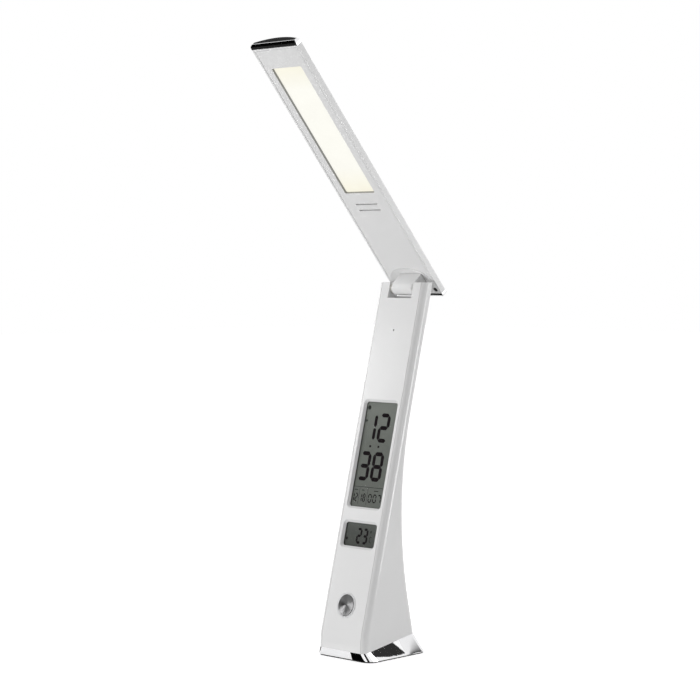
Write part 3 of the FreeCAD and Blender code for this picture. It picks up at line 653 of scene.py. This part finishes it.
def softbox(name, place, target, width, height, watts, reflected=False):
    light = bpy.data.lights.new(name, "AREA")
    light.shape = "RECTANGLE"
    light.size = width
    light.size_y = height
    light.energy = watts
    lamp = bpy.data.objects.new(name, light)
    lamp.location = place
    lamp.rotation_euler = facing(place, target)
    lamp.visible_camera = False
    lamp.visible_glossy = reflected
    bpy.context.scene.collection.objects.link(lamp)


def stage_sheet(name, width, height, material):
    corners = [(x, y, 0.0) for x, y in bar_points(0.0, 0.0, width, height)]
    sheet = flat_piece(name, [corners], material)
    return sheet


def only_reflected(card):
    card.visible_camera = False
    card.visible_diffuse = False
    card.visible_shadow = False
    card.visible_transmission = False


def hang_card(name, material, azimuth, elevation, distance, width, height):
    card = stage_sheet(name, width, height, material)
    card.location = around(azimuth, elevation, distance)
    card.rotation_euler = facing(card.location, studio_middle)
    only_reflected(card)


def lay_card(name, material, start, azimuth, length, width):
    run = level_direction(azimuth)
    card = stage_sheet(name, width, length, material)
    card.location = Vector((*start, cad_box[0][2])) + run * (length / 2)
    card.rotation_euler.z = math.atan2(run.y, run.x) - math.pi / 2
    only_reflected(card)


def fading_card(name):
    """A card that is dark where it starts and white at its far end."""
    material, tree, shader = new_material(name)
    greys = [(grey, grey, grey) for grey in card_fade_greys]
    fade = ramp(tree, share_along(tree, "Y"), card_fade_places, greys)
    shader.inputs["Base Color"].default_value = (*card_tone, 1.0)
    glowing(material, 1.0)
    tree.links.new(fade, shader.inputs["Emission Color"])
    return dull(material)


def make_cards():
    finishes = {name: glowing(dull(moulded(name)), glow) for name, glow in card_glows.items()}
    finishes["card_fade"] = fading_card("card_fade")
    for name, (finish, *place_and_size) in hung_cards.items():
        hang_card(name, finishes[finish], *place_and_size)
    for name, (finish, *place_and_size) in lying_cards.items():
        lay_card(name, finishes[finish], *place_and_size)


def make_lights():
    key_place = around(azimuth=-69, elevation=36, distance=1.3)
    back_place = around(azimuth=170, elevation=25, distance=1.2)
    right_place = around(azimuth=112, elevation=8, distance=0.8)
    softbox("key_softbox", key_place, studio_middle, width=0.6, height=0.7, watts=5.6)
    softbox("low_fill", low_fill_place, low_fill_aim, width=0.6, height=0.18, watts=4.7)
    softbox("back_fill", back_place, studio_middle, width=0.5, height=0.5, watts=2.8)
    softbox("right_strip", right_place, studio_middle, width=0.2, height=0.6, watts=1.85,
            reflected=True)


def seen_directly(tree):
    """One for rays that see the background itself: from the camera, or in gloss or glass."""
    light_path = add_node(tree, "ShaderNodeLightPath")
    rays = ("Is Camera Ray", "Is Glossy Ray", "Is Transmission Ray")
    return combined(tree, "MAXIMUM", [light_path.outputs[ray] for ray in rays])


def make_world():
    world = bpy.data.worlds.new("studio")
    world.use_nodes = True
    tree = world.node_tree
    ambient = tree.nodes["Background"]
    ambient.inputs["Color"].default_value = opaque_white
    ambient.inputs["Strength"].default_value = ambient_strength
    backdrop_inputs = {"Color": opaque_white, "Strength": backdrop_strength}
    backdrop = add_node(tree, "ShaderNodeBackground", backdrop_inputs)
    either = add_node(tree, "ShaderNodeMixShader")
    tree.links.new(seen_directly(tree), either.inputs["Fac"])
    tree.links.new(ambient.outputs[0], either.inputs[1])
    tree.links.new(backdrop.outputs[0], either.inputs[2])
    tree.links.new(either.outputs[0], tree.nodes["World Output"].inputs["Surface"])
    bpy.context.scene.world = world


def floor_glow(tree):
    """Lifts the floor to white: more with the distance from the lamp, and a little in gloss."""
    distance = add_node(tree, "ShaderNodeVectorMath", operation="LENGTH")
    tree.links.new(object_place(tree), distance.inputs[0])
    lift_inputs = {
        "From Max": floor_far_reach, "To Min": floor_near_lift, "To Max": floor_far_lift,
    }
    lift = add_node(tree, "ShaderNodeMapRange", lift_inputs)
    tree.links.new(distance.outputs["Value"], lift.inputs["Value"])
    light_path = add_node(tree, "ShaderNodeLightPath")
    seen = combined(tree, "MULTIPLY", [light_path.outputs["Is Camera Ray"], lift.outputs["Result"]])
    total = add_node(tree, "ShaderNodeMath", {1: floor_gloss_lift}, operation="MULTIPLY_ADD")
    tree.links.new(light_path.outputs["Is Glossy Ray"], total.inputs[0])
    tree.links.new(seen, total.inputs[2])
    return total.outputs[0]


def make_floor():
    material, tree, shader = new_material("floor_white")
    tint = ramp(tree, noise(tree, floor_cloud_scale), tone_places, floor_tones)
    tree.links.new(tint, shader.inputs["Base Color"])
    shader.inputs["Roughness"].default_value = floor_roughness
    glowing(dull(material), 1.0)
    tree.links.new(floor_glow(tree), shader.inputs["Emission Strength"])
    floor = stage_sheet("floor", floor_size, floor_size, material)
    floor.location.z = cad_box[0][2] - floor_drop


def make_camera():
    camera = bpy.data.cameras.new("camera")
    camera.sensor_width = sensor_width
    camera.lens = camera_focal_px / image_px * sensor_width
    camera.shift_x = 0.5 - camera_middle_px / image_px
    viewer = bpy.data.objects.new("camera", camera)
    viewer.location = camera_place
    viewer.rotation_euler = Vector(camera_aim).to_track_quat("-Z", "Y").to_euler()
    bpy.context.scene.collection.objects.link(viewer)
    bpy.context.scene.camera = viewer


bpy.context.scene.view_settings.view_transform = "Standard"
make_camera()
make_world()
make_floor()
make_lights()
make_cards()
dress_nodes()
print_displays()
